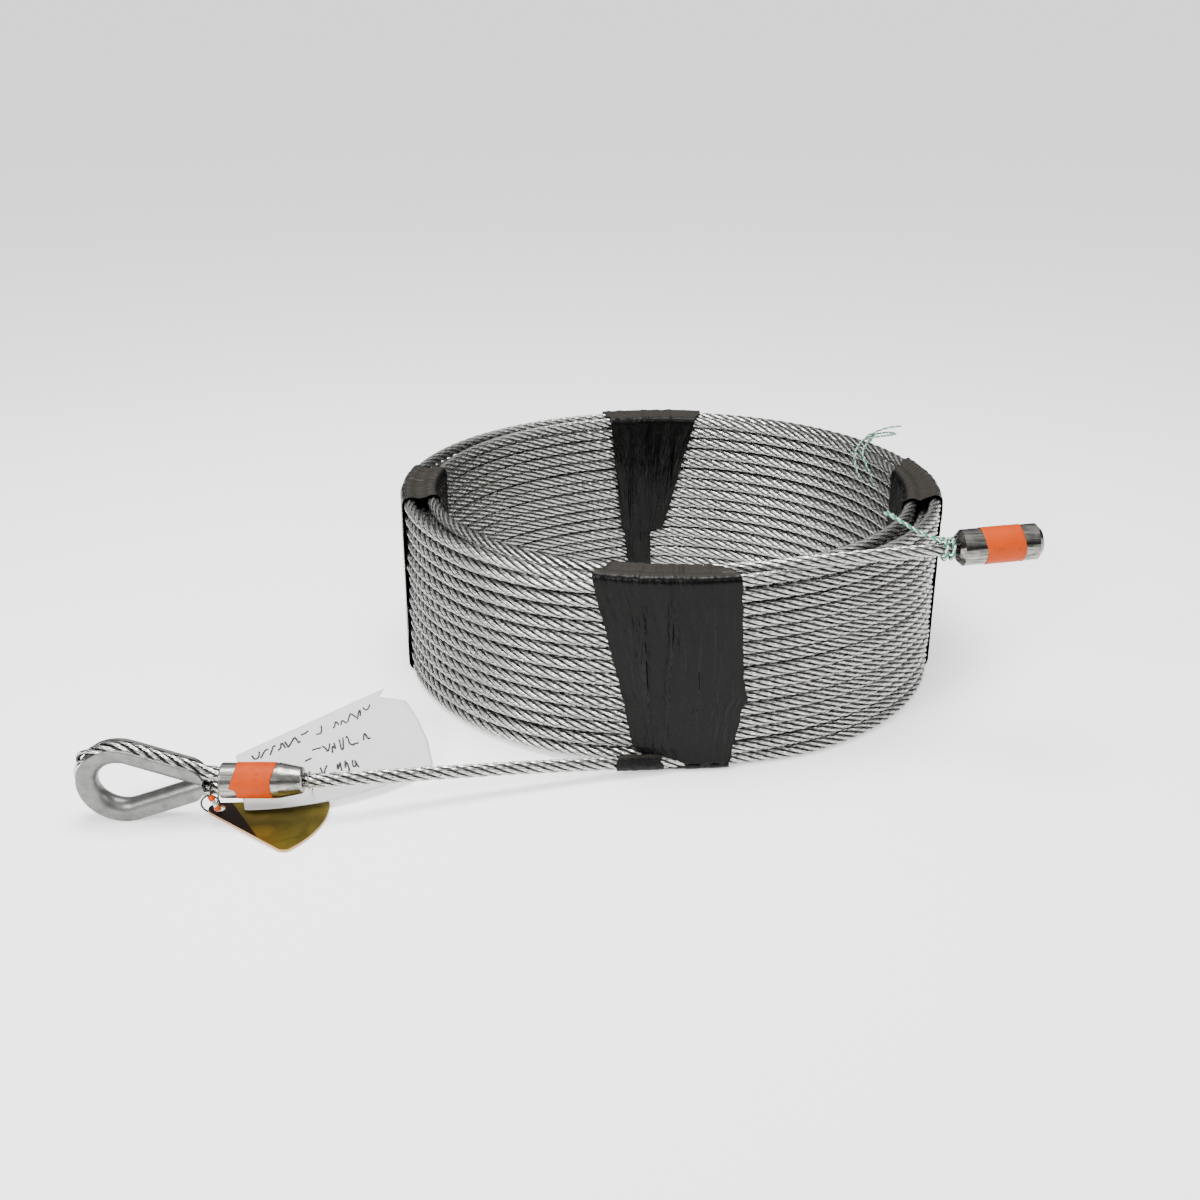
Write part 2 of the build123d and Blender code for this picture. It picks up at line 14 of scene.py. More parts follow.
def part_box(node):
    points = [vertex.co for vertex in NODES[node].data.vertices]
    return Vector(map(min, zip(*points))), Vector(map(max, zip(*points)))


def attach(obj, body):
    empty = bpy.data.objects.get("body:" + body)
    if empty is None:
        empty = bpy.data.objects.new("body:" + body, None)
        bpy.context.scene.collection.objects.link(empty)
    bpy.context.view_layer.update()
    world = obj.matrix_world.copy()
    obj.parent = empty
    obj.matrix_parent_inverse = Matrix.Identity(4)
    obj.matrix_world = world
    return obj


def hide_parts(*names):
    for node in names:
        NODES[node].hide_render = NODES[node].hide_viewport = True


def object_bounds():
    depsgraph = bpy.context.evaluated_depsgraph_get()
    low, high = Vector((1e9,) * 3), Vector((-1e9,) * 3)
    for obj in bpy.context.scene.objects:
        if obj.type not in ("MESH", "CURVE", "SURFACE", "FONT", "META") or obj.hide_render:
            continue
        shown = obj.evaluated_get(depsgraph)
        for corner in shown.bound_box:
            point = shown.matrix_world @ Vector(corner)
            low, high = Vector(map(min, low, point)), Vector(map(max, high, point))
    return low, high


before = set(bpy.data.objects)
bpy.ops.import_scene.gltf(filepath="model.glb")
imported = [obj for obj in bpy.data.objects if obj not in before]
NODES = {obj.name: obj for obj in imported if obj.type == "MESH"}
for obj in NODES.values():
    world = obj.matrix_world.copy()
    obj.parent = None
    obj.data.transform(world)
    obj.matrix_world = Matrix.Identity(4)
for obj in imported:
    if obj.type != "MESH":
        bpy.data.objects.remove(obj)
CAD_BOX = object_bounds()
MM = 0.001
UP = Vector((0, 0, 1))

# ---- sizes, in metres ---------------------------------------------------------------
ROPE_D = 7.94 * MM
ROPE_LAY = 50 * MM                     # one turn of a strand round the rope
STRAND_R = ROPE_D / 6 * 1.03
STRAND_LINE_R = ROPE_D / 3             # strand centre lines from the rope's own
EYE_LEAN = math.radians(8)
EYE_UP = Vector((0, -math.sin(EYE_LEAN), math.cos(EYE_LEAN)))
EYE_FACE = Vector((0, -math.cos(EYE_LEAN), -math.sin(EYE_LEAN)))

COIL_LO, COIL_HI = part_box("rope_coil")
AXIS = (COIL_LO + COIL_HI) / 2
COIL_R = (COIL_HI.x - COIL_LO.x) / 2
WALL = 22.5 * MM
LAYER_R = [COIL_R - ROPE_D / 2, COIL_R - WALL / 2, COIL_R - WALL + ROPE_D / 2]

# the two listed stretches of the rope's route, and the coil between them
LEAD = [(0.0995, 0, 0), (0.115, 0, 0), (0.138, 0.0075, -0.0024), (0.170, 0.0185, -0.0058),
        (0.208, 0.0303, -0.0096), (0.250, 0.0426, -0.0139), (0.295, 0.0538, -0.0179),
        (0.336, 0.0606, -0.0199)]
TAIL = [(0.344, 0.0745, 0.0949), (0.380, 0.0714, 0.1004), (0.4227, 0.0769, 0.1029), (0.465, 0.0802, 0.1056)]
POINTS_PER_TURN = 16
LINE_STEPS = 15                        # steps of the smooth line between two route points
JOIN_ANGLE = math.radians(-80)         # where the lead meets the first wrap
STEP_SHARE = 0.12                      # last share of each wrap, where it climbs to the next


# ---- materials ----------------------------------------------------------------------
def linear(code):
    """A colour given as sRGB hex, as the linear values that the shader wants."""
    parts = [int(code[i:i + 2], 16) / 255 for i in (0, 2, 4)]
    return [p / 12.92 if p <= 0.04045 else ((p + 0.055) / 1.055) ** 2.4 for p in parts] + [1]


def add(tree, kind, inputs=None, **settings):
    """One node with its settings, each input set to a value or linked from another node's output."""
    made = tree.nodes.new("ShaderNode" + kind)
    for name, value in settings.items():
        setattr(made, name, value)
    for name, value in (inputs or {}).items():
        if isinstance(value, bpy.types.NodeSocket):
            tree.links.new(value, made.inputs[name])
        else:
            made.inputs[name].default_value = value
    return made


def blend(tree, share, low, high):
    """A colour so far from low to high, each of them a hex code or another node's output."""
    low, high = (linear(end) if isinstance(end, str) else end for end in (low, high))
    return add(tree, "Mix", {0: share, 6: low, 7: high}, data_type="RGBA").outputs[2]


def plug(tree, shader, **sources):
    """Links each source to the shader's socket of that name."""
    for socket, source in sources.items():
        tree.links.new(source, shader.inputs[socket.replace("_", " ")])


def new_material(name, **values):
    """A named material, its node tree and its shader with those values on the shader's own sockets."""
    material = bpy.data.materials.new(name)
    material.use_nodes = True
    tree = material.node_tree
    shader = tree.nodes["Principled BSDF"]
    for socket, value in values.items():
        shader.inputs[socket.replace("_", " ")].default_value = value
    return material, tree, shader


def galvanised_steel():
    """Hot-dip galvanised forging: matt zinc gone grey in soft cloudy patches, with a fine cast grain."""
    material, tree, shader = new_material("galvanised_steel", Metallic=0.9)
    place = add(tree, "TexCoord").outputs["Object"]
    cloud = add(tree, "TexNoise", {"Vector": place, "Scale": 150, "Detail": 6, "Roughness": 0.7})
    grain = add(tree, "TexNoise", {"Vector": place, "Scale": 1600, "Detail": 3})
    tone = blend(tree, cloud.outputs["Fac"], "3c3d3b", "90918e")
    rough = add(tree, "MapRange", {"Value": cloud.outputs["Fac"], "From Min": 0.3, "From Max": 0.7,
                                   "To Min": 0.46, "To Max": 0.3})
    bump = add(tree, "Bump", {"Height": grain.outputs["Fac"], "Strength": 0.3, "Distance": 0.0003})
    plug(tree, shader, Base_Color=tone, Roughness=rough.outputs["Result"], Normal=bump.outputs["Normal"])
    return material


def rope_wire():
    """Galvanised wire laid in a strand: greyer where the zinc has dulled, with painted shade in the grooves
    between the wires, and black with grease and painted shade down between the strands. A real strand shows
    twelve wires; these are seven, to be seen."""
    material, tree, shader = new_material("rope_wire", Metallic=1.0)
    coords = add(tree, "TexCoord")
    wires_round = 7
    wire_lay = 22 * MM                 # one turn of a wire round its strand
    turns = 2 * math.pi * wires_round
    phase = add(tree, "VectorMath", {0: coords.outputs["UV"], 1: (turns / wire_lay, turns, 0)},
                operation="DOT_PRODUCT")
    wave = add(tree, "Math", {0: phase.outputs["Value"]}, operation="SINE")
    dull = add(tree, "TexNoise", {"Vector": coords.outputs["Object"], "Scale": 60, "Detail": 5,
                                  "Roughness": 0.65})
    clean = blend(tree, dull.outputs["Fac"], "a3a49f", "f2f2ee")
    # V runs round the strand from its outermost line, so its middle half is down between the strands
    round_strand = add(tree, "SeparateXYZ", {0: coords.outputs["UV"]})
    away = add(tree, "Math", {0: round_strand.outputs["Y"], 1: 0.5}, operation="SUBTRACT")
    depth = add(tree, "Math", {0: away.outputs["Value"]}, operation="ABSOLUTE")
    # painted shade, with grease, takes the wire towards black down between the strands
    gap_shade_and_grease = add(tree, "MapRange", {"Value": depth.outputs["Value"], "From Min": 0.4, "From Max": 0.26})
    # painted shade in the grooves between the wires, where the wave runs low
    wire_groove_shade = add(tree, "MapRange", {"Value": wave.outputs["Value"], "From Min": -0.1, "From Max": -1.0})
    lined = blend(tree, wire_groove_shade.outputs["Result"], clean, "7b7b77")
    tone = blend(tree, gap_shade_and_grease.outputs["Result"], lined, "1d1c1a")
    rough = add(tree, "MapRange", {"Value": dull.outputs["Fac"], "From Min": 0.3, "From Max": 0.7,
                                   "To Min": 0.32, "To Max": 0.2})
    bump = add(tree, "Bump", {"Height": wave.outputs["Value"], "Strength": 0.45, "Distance": 0.00014})
    plug(tree, shader, Base_Color=tone, Roughness=rough.outputs["Result"], Normal=bump.outputs["Normal"])
    return material


def rope_heart():
    """The rope's inner strand, seen only as a line between the outer strands: greased, and dark as painted
    shade of the gaps.
    """
    material, tree, shader = new_material("rope_heart", Metallic=0.6, Roughness=0.6)
    place = add(tree, "TexCoord").outputs["Object"]
    grime = add(tree, "TexNoise", {"Vector": place, "Scale": 120, "Detail": 4})
    # dark tones: grease, and painted shade of the gaps between the outer strands
    tone = blend(tree, grime.outputs["Fac"], "232220", "5c5b57")
    plug(tree, shader, Base_Color=tone)
    return material


def swaged_steel(name, dark, light, roughness, streak, smudge):
    """Plated steel that a press has squeezed and drawn: streaks run along it, broken by greasy smudges."""
    material, tree, shader = new_material(name, Metallic=1.0)
    place = add(tree, "TexCoord").outputs["Object"]
    drawn = add(tree, "Mapping", {"Vector": place, "Scale": (30, 700, 700)})
    lines = add(tree, "TexNoise", {"Vector": drawn.outputs["Vector"], "Scale": 1, "Detail": 5,
                                   "Roughness": 0.6})
    patch = add(tree, "TexNoise", {"Vector": place, "Scale": 140, "Detail": 4, "Roughness": 0.6})
    mixed = add(tree, "Mix", {0: 0.35, 2: lines.outputs["Fac"], 3: patch.outputs["Fac"]}, data_type="FLOAT")
    share = add(tree, "MapRange", {"Value": mixed.outputs[0], "From Min": 0.36, "From Max": 0.62})
    tone = blend(tree, share.outputs["Result"], dark, light)
    rough = add(tree, "MapRange", {"Value": patch.outputs["Fac"], "From Min": 0.35, "From Max": 0.65,
                                   "To Min": roughness + smudge, "To Max": roughness})
    bump = add(tree, "Bump", {"Height": lines.outputs["Fac"], "Strength": streak, "Distance": 0.0002})
    plug(tree, shader, Base_Color=tone, Roughness=rough.outputs["Result"], Normal=bump.outputs["Normal"])
    return material


def orange_tape():
    """Vinyl marking tape: flat saturated orange with a low sheen, dark greasy rubs and a slight pucker."""
    material, tree, shader = new_material("orange_tape", Roughness=0.5, IOR=1.5, Specular_IOR_Level=0.15)
    place = add(tree, "TexCoord").outputs["Object"]
    rub = add(tree, "TexNoise", {"Vector": place, "Scale": 260, "Detail": 6, "Roughness": 0.7})
    soiled = add(tree, "MapRange", {"Value": rub.outputs["Fac"], "From Min": 0.6, "From Max": 0.72})
    fade = add(tree, "TexNoise", {"Vector": place, "Scale": 90, "Detail": 3})
    fresh = blend(tree, fade.outputs["Fac"], "a03400", "bb4400")
    tone = blend(tree, soiled.outputs["Result"], fresh, "3a1a0c")
    pucker = add(tree, "TexNoise", {"Vector": place, "Scale": 420, "Detail": 3})
    bump = add(tree, "Bump", {"Height": pucker.outputs["Fac"], "Strength": 0.3, "Distance": 0.0004})
    plug(tree, shader, Base_Color=tone, Normal=bump.outputs["Normal"])
    return material


def black_tape():
    """Stretched black PVC tape: smooth, half glossy, hazy with dust, lighter on top as a painted sheen,
    finely creased along its pull.
    """
    material, tree, shader = new_material("black_tape", IOR=1.5, Specular_IOR_Level=0.12)
    coords = add(tree, "TexCoord")
    dust = add(tree, "TexNoise", {"Vector": coords.outputs["Object"], "Scale": 35, "Detail": 6,
                                  "Roughness": 0.65})
    hazy = blend(tree, dust.outputs["Fac"], "020202", "0c0b0a")
    facing = add(tree, "SeparateXYZ", {0: add(tree, "NewGeometry").outputs["Normal"]})
    # faces that look up are lightened towards grey brown: a painted sheen of the overhead light
    top_painted_sheen = add(tree, "MapRange", {"Value": facing.outputs["Z"], "From Min": 0.75, "From Max": 1.0})
    tone = blend(tree, top_painted_sheen.outputs["Result"], hazy, "2d2a26")
    rough = add(tree, "MapRange", {"Value": dust.outputs["Fac"], "From Min": 0.35, "From Max": 0.65,
                                   "To Min": 0.16, "To Max": 0.32})
    # creases follow the tape: the U of its own map runs across it, one crease in about 3 mm
    pulled = add(tree, "Mapping", {"Vector": coords.outputs["UV"], "Scale": (24, 9, 1)})
    crease = add(tree, "TexNoise", {"Vector": pulled.outputs["Vector"], "Scale": 1, "Detail": 4,
                                    "Roughness": 0.5})
    bump = add(tree, "Bump", {"Height": crease.outputs["Fac"], "Strength": 0.8, "Distance": 0.0022})
    plug(tree, shader, Base_Color=tone, Roughness=rough.outputs["Result"], Normal=bump.outputs["Normal"])
    return material


def yellow_passivated_plate():
    """Steel tag with a yellow chromate finish: olive gold in slow clouds, tan on its edges and its back."""
    material, tree, shader = new_material("yellow_passivated_plate", Metallic=0.85, Roughness=0.38)
    place = add(tree, "TexCoord").outputs["Object"]
    film = add(tree, "TexNoise", {"Vector": place, "Scale": 55, "Detail": 3, "Distortion": 1.2})
    hue = blend(tree, film.outputs["Fac"], "2c2a0a", "93802c")
    facing = add(tree, "SeparateXYZ", {0: add(tree, "NewGeometry").outputs["Normal"]})
    side = add(tree, "MapRange", {"Value": facing.outputs["Z"], "From Min": 0.5, "From Max": 0.9,
                                  "To Min": 1.0, "To Max": 0.0})
    # painted dark reflection on the narrow end, in front of a slanting line across the tag
    across = add(tree, "VectorMath", {0: place, 1: (0.855, 0.52, 0)}, operation="DOT_PRODUCT")
    dark_end_reflection = add(tree, "MapRange", {"Value": across.outputs["Value"], "From Min": 54.2 * MM,
                                   "From Max": 53.4 * MM})
    with_dark_end = blend(tree, dark_end_reflection.outputs["Result"], hue, "2a1c14")
    tone = blend(tree, side.outputs["Result"], with_dark_end, "a98560")
    plug(tree, shader, Base_Color=tone)
    return material


def tag_paper():
    """Coated tag paper: almost white and matt, with faint fibre mottle and a little handling grime."""
    material, tree, shader = new_material("tag_paper", Roughness=0.75, IOR=1.45)
    place = add(tree, "TexCoord").outputs["Object"]
    fibre = add(tree, "TexNoise", {"Vector": place, "Scale": 900, "Detail": 4})
    grime = add(tree, "TexNoise", {"Vector": place, "Scale": 40, "Detail": 4})
    clean = blend(tree, fibre.outputs["Fac"], "cacbca", "e4e4e2")
    tone = blend(tree, grime.outputs["Fac"], clean, "c6c6c4")
    bump = add(tree, "Bump", {"Height": fibre.outputs["Fac"], "Strength": 0.12, "Distance": 0.0002})
    plug(tree, shader, Base_Color=tone, Normal=bump.outputs["Normal"])
    return material


def mottled(name, dark, light, scale, metallic, roughness):
    """A plain finish with cloudy tone: inks, thin wires, fibres and the soft metal of the crimp."""
    material, tree, shader = new_material(name, Metallic=metallic, Roughness=roughness)
    place = add(tree, "TexCoord").outputs["Object"]
    cloud = add(tree, "TexNoise", {"Vector": place, "Scale": scale, "Detail": 4, "Roughness": 0.6})
    tone = blend(tree, cloud.outputs["Fac"], dark, light)
    bump = add(tree, "Bump", {"Height": cloud.outputs["Fac"], "Strength": 0.25, "Distance": 0.0002})
    plug(tree, shader, Base_Color=tone, Normal=bump.outputs["Normal"])
    return material


FINISH = {
    "zinc": galvanised_steel(),
    "wire": rope_wire(),
    "heart": rope_heart(),
    "sleeve": swaged_steel("sleeve_steel", "4d4c49", "a5a39d", 0.2, 0.18, 0.1),
    "button": swaged_steel("button_steel", "3a3935", "9a9892", 0.1, 0.08, 0.06),
    "orange": orange_tape(),
    "black": black_tape(),
    "plate": yellow_passivated_plate(),
    "paper": tag_paper(),
    "ink": mottled("marker_ink", "111114", "3a3a40", 700, 0, 0.6),
    "dark wire": mottled("dark_wire", "1f1d1b", "5f5c57", 500, 0.85, 0.38),
    "crimp": mottled("crimp_aluminium", "9b9b98", "d6d6d2", 500, 1.0, 0.32),
    "tie wire": mottled("tie_wire", "4c4b48", "9a9994", 500, 0.9, 0.4),
    "green": mottled("green_fibre", "0e6a4a", "2f9a78", 1500, 0, 0.6),
    "pale": mottled("pale_fibre", "a3a8a2", "e2e6e0", 1500, 0, 0.65),
}


def wear(node, finish):
    """Gives a CAD node its finish."""
    slots = NODES[node].data.materials
    slots.clear()
    slots.append(FINISH[finish])


# ---- camera -------------------------------------------------------------------------
CAMERA_PLACE = (0.2616, -0.7185, 0.4047)
CAMERA_TILT = 22.52                    # degrees below level
CAMERA_LENS = 44.85
camera_data = bpy.data.cameras.new("camera")
camera_data.lens = CAMERA_LENS
camera_data.sensor_width = 36
camera = bpy.data.objects.new("camera", camera_data)
camera.location = CAMERA_PLACE
camera.rotation_euler = (math.radians(90 - CAMERA_TILT), 0, 0)
bpy.context.scene.collection.objects.link(camera)
bpy.context.scene.camera = camera


# ---- lines, rings and lofts -----------------------------------------------------------
def smooth(share):
    """A share from 0 to 1, eased at both ends."""
    share = min(max(share, 0.0), 1.0)
    return share * share * (3 - 2 * share)


def nurbs_line(route, steps):
    """Points along the smooth NURBS line that a route's points pull into shape."""
    curve = bpy.data.curves.new("route", "CURVE")
    curve.dimensions = "3D"
    spline = curve.splines.new("NURBS")
    spline.points.add(len(route) - 1)
    for point, place in zip(spline.points, route):
        point.co = (*place, 1)
    spline.order_u = 3
    spline.use_endpoint_u = True
    spline.resolution_u = steps
    holder = bpy.data.objects.new("route", curve)
    mesh = bpy.data.meshes.new_from_object(holder)
    places = np.empty(len(mesh.vertices) * 3)
    mesh.vertices.foreach_get("co", places)
    bpy.data.objects.remove(holder)
    bpy.data.meshes.remove(mesh)
    bpy.data.curves.remove(curve)
    return places.reshape(-1, 3)


def distances(line):
    """How far along the line each of its points is."""
    return np.concatenate([[0], np.cumsum(np.linalg.norm(np.diff(line, axis=0), axis=1))])


def axes_along(line, reference):
    """At each point of the line, the direction to its side and the one over it. The reference never lies
    along the line."""
    ahead = np.gradient(line, axis=0)
    ahead /= np.linalg.norm(ahead, axis=1)[:, None]
    side = np.cross(np.array(reference), ahead)
    side /= np.linalg.norm(side, axis=1)[:, None]
    return side, np.cross(ahead, side)


def strand_rings(line, reference, lay, line_radius, radius, corners, start=0.0, swell=None):
    """Rings of a strand that winds round a line once in each lay; swell moves it out further."""
    side, over = axes_along(line, reference)
    turn = start + 2 * math.pi * distances(line) / lay
    reach = line_radius + (0 if swell is None else swell)
    out = np.cos(turn)[:, None] * side + np.sin(turn)[:, None] * over
    across = -np.sin(turn)[:, None] * side + np.cos(turn)[:, None] * over
    centre = line + np.reshape(reach, (-1, 1)) * out
    corner = 2 * math.pi * np.arange(corners) / corners
    return (centre[:, None, :] + radius * (np.cos(corner)[None, :, None] * out[:, None, :]
            + np.sin(corner)[None, :, None] * across[:, None, :]))


def loft(name, rings, finish):
    """A closed tube through rings of points, with a UV map of metres along it and turns round it."""
    count, corners = rings.shape[:2]
    i, j = np.meshgrid(np.arange(count - 1), np.arange(corners), indexing="ij")
    k = (j + 1) % corners
    walls = np.stack([i * corners + j, i * corners + k, (i + 1) * corners + k, (i + 1) * corners + j], -1)
    walls = walls.reshape(-1, 4)
    mesh = bpy.data.meshes.new(name)
    mesh.vertices.add(count * corners)
    mesh.vertices.foreach_set("co", rings.ravel())
    caps = [np.arange(corners)[::-1], (count - 1) * corners + np.arange(corners)]
    mesh.loops.add(walls.size + 2 * corners)
    mesh.loops.foreach_set("vertex_index", np.concatenate([walls.ravel(), *caps]))
    starts = np.concatenate([np.arange(len(walls)) * 4, walls.size + np.array([0, corners])])
    mesh.polygons.add(len(walls) + 2)
    mesh.polygons.foreach_set("loop_start", starts)
    mesh.update(calc_edges=True)
    along = distances(rings.mean(axis=1))
    turn_uv = np.stack([j, j + 1, j + 1, j], -1) / corners
    along_uv = np.stack([along[i], along[i], along[i + 1], along[i + 1]], -1)
    uv = np.zeros((walls.size + 2 * corners, 2))
    uv[:walls.size, 0] = along_uv.ravel()
    uv[:walls.size, 1] = turn_uv.ravel()
    mesh.uv_layers.new(name="UVMap").data.foreach_set("uv", uv.ravel())
    mesh.shade_smooth()
    mesh.materials.append(FINISH[finish])
    mesh.validate()
    piece = bpy.data.objects.new(name, mesh)
    bpy.context.scene.collection.objects.link(piece)
    return piece


def join(name, pieces):
    """Several pieces made one."""
    bpy.ops.object.select_all(action="DESELECT")
    for piece in pieces:
        piece.select_set(True)
    bpy.context.view_layer.objects.active = pieces[0]
    bpy.ops.object.join()
    pieces[0].name = name
    pieces[0].data.name = name
    return pieces[0]


# ---- the rope ----------------------------------------------------------------------
def wrap_heights():
    """Radius and height of each wrap's line: fifteen up outside, fourteen down the middle and fifteen up
    inside."""
    foot = COIL_LO.z + ROPE_D / 2
    top = COIL_HI.z - ROPE_D / 2
    loose, close = 8.6 * MM, 7.8 * MM
    rises = np.array([0] + [loose] * 2 + [close] * 9 + [loose] * 3)
    outer = foot + np.cumsum(rises) * (top - foot) / rises.sum()
    middle = np.linspace(top - 7.2 * MM, foot + 4 * MM, 14)
    inner = np.linspace(foot, top, 15)
    wraps = [(radius, z) for radius, layer in zip(LAYER_R, (outer, middle, inner)) for z in layer]
    return wraps + wraps[-1:]


def coil_route():
    """The coil's turns as route points, none of them quite round or level."""
    chance = random.Random(5)
    wraps = wrap_heights()
    sways = [(chance.uniform(0, 2 * math.pi), chance.uniform(0, 2 * math.pi), chance.uniform(0.1, 0.7) * MM,
              chance.uniform(0.1, 0.35) * MM, chance.uniform(-0.5, 0.35) * MM) for _ in wraps]
    first, last = 0.05, len(wraps) - 1 - 0.05
    count = round((last - first) * POINTS_PER_TURN) + 1
    pull = 1 / math.cos(math.pi / POINTS_PER_TURN)      # the line runs inside its points by this much
    route = []
    for turn in np.linspace(first, last, count):
        wrap = int(turn)
        step = smooth((turn - wrap - 1 + STEP_SHARE) / STEP_SHARE)
        angle = JOIN_ANGLE + 2 * math.pi * turn
        radius = height = 0
        for number, share in ((wrap, 1 - step), (wrap + 1, step)):
            phase, tilt, swing, heave, size = sways[number]
            radius += share * (wraps[number][0] + size + swing * math.sin(2 * angle + phase))
            height += share * (wraps[number][1] + heave * math.sin(angle + tilt))
        height = max(height, wraps[0][1])
        reach = pull * radius
        route.append((AXIS.x + reach * math.cos(angle), AXIS.y + reach * math.sin(angle), height))
    return route


def hidden(line):
    """Which points of the rope's line lie in the covered middle layer."""
    out = np.linalg.norm(line[:, :2] - np.array(AXIS.xy), axis=1)
    inside = (out > LAYER_R[2] + 2.5 * MM) & (out < LAYER_R[0] - 2.5 * MM)
    return inside & (line[:, 2] < COIL_HI.z - 4 * ROPE_D) & (line[:, 2] > COIL_LO.z + ROPE_D)


rope_line = nurbs_line(LEAD + coil_route() + TAIL, LINE_STEPS)
HIDDEN_STEP = 5                        # of the line's points, one in so many is kept where nothing shows
kept = ~hidden(rope_line) | (np.arange(len(rope_line)) % HIDDEN_STEP == 0)
strand_line = rope_line[kept]
STRANDS = 6
rope_strands = []
for number in range(STRANDS):
    rings = strand_rings(strand_line, UP, ROPE_LAY, STRAND_LINE_R, STRAND_R, 7,
                         start=2 * math.pi * number / STRANDS)
    rope_strands.append(loft(f"rope_strand_{number + 1}", rings, "wire"))

HEART_R = 0.375 * ROPE_D
heart_line = np.vstack([rope_line[:-1:3], rope_line[-1:]])
rope_heart_piece = loft("rope_heart", strand_rings(heart_line, UP, 1.0, 0, HEART_R, 8), "heart")

# ---- the eye's rope ------------------------------------------------------------------
NOSE_R = 20.22 * MM                    # line of the rope round the thimble's nose
LEG_SLOPE = math.radians(20.317)
NECK_HALF = 4.9 * MM
NOSE_TOP_X = -15 * MM                  # where the rope stands highest over the nose
RISE_START, RISE_OVER, FALL_OVER = 14 * MM, 22 * MM, 20 * MM     # the stretch where the rope rides up
RIDE_OUT, RIDE_FORWARD, SWELL = 1.7 * MM, 1.5 * MM, 0.6 * MM
SPRUNG = {1: 3.4 * MM, 2: 2.6 * MM, 4: 1.8 * MM}                 # strands that have sprung out round the nose
SPRUNG_REACH = 9 * MM


def eye_route():
    """The rope round the thimble: along one leg, round the nose, back along the other."""
    leg = [(66.4, NECK_HALF / MM), (60, NECK_HALF / MM), (53, NECK_HALF / MM + 0.05), (45, 5.1),
           (36, 8.3), (22, 13.5)]
    count = 9
    sweep_angle = math.pi / 2 - LEG_SLOPE
    pull = 1 / math.cos((math.pi - sweep_angle) / (count - 1))
    angles = [sweep_angle + 2 * (math.pi - sweep_angle) * k / (count - 1) for k in range(count)]
    nose = [(NOSE_R / MM * pull * math.cos(a), NOSE_R / MM * pull * math.sin(a)) for a in angles]
    flat = leg + nose + [(x, -y) for x, y in reversed(leg)]
    return [tuple(Vector((x * MM, 0, 0)) + y * MM * EYE_UP) for x, y in flat]


eye_line = nurbs_line(eye_route(), 12)
eye_along = distances(eye_line)
NOSE_TOP = eye_along[np.argmin(np.abs(eye_line[:, 0] - NOSE_TOP_X) + np.where(eye_line[:, 2] > 0, 0, 1))]
# the lay is opened along the upper leg, where the rope rides up out of its groove and over the near flange
riding = np.array([smooth((a - RISE_START) / RISE_OVER) * (1 - smooth((a - NOSE_TOP) / FALL_OVER))
                   for a in eye_along])
outward = np.cross(np.gradient(eye_line, axis=0), np.array(EYE_FACE))
outward /= np.linalg.norm(outward, axis=1)[:, None]
outward *= np.sign(outward[len(outward) // 5] @ np.array(EYE_UP))
eye_line = eye_line + riding[:, None] * (RIDE_OUT * outward + RIDE_FORWARD * np.array(EYE_FACE))
eye_parts = []
for number in range(STRANDS):
    rings = strand_rings(eye_line, EYE_FACE, ROPE_LAY, STRAND_LINE_R, STRAND_R, 12,
                         start=2 * math.pi * number / STRANDS + 0.6, swell=SWELL * riding)
    spring = SPRUNG.get(number, 0) * np.exp(-((eye_along - NOSE_TOP) / SPRUNG_REACH) ** 2)
    rings += (spring[:, None] * outward)[:, None, :]
    eye_parts.append(loft(f"eye_strand_{number}", rings, "wire"))
eye_parts.append(loft("eye_heart", strand_rings(eye_line, EYE_FACE, 1.0, 0, HEART_R, 10), "heart"))
eye_strands = join("eye_strands", eye_parts)
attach(eye_strands, "rope_assembly")
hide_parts("eye_rope")

# the CAD nodes that show; the others have a piece of their own further on
CAD_FINISH = {
    "thimble": "zinc",
    "swage_sleeve": "sleeve",
    "sleeve_rope": "wire",
    "strand_tails": "wire",
    "tag_wire_loop": "dark wire",
    "split_ring": "dark wire",
    "id_tag": "plate",
    "paper_tag_wire": "tie wire",
    "stop_button": "button",
    "button_rope_end": "heart",
}
for node, finish in CAD_FINISH.items():
    wear(node, finish)


# ---- tapes ----------------------------------------------------------------------------
def mapped_grid(name, across, along, place, finish):
    """A grid whose points go where place(u, v) says, u and v from 0 to 1. Opposite edges that meet are
    merged."""
    bpy.ops.object.select_all(action="DESELECT")
    bpy.ops.mesh.primitive_grid_add(x_subdivisions=across, y_subdivisions=along, size=1)
    piece = bpy.context.object
    piece.name = name
    piece.data.name = name
    for vertex in piece.data.vertices:
        vertex.co = place(vertex.co.x + 0.5, vertex.co.y + 0.5)
    bpy.ops.object.mode_set(mode="EDIT")
    bpy.ops.mesh.select_all(action="SELECT")
    bpy.ops.mesh.remove_doubles(threshold=0.00001)
    bpy.ops.object.mode_set(mode="OBJECT")
    piece.data.materials.append(FINISH[finish])
    return piece


def thicken(piece, thickness):
    """Gives a sheet its thickness, inwards from its outer face."""
    modifier = piece.modifiers.new("thickness", "SOLIDIFY")
    modifier.thickness = thickness
    modifier.offset = -1.0
    bpy.ops.object.select_all(action="DESELECT")
    piece.select_set(True)
    bpy.context.view_layer.objects.active = piece
    bpy.ops.object.modifier_apply(modifier=modifier.name)
    piece.data.shade_smooth()
    return piece


TAPE_CORNER = 4.2 * MM
TAPE_LIFT = 1.2 * MM


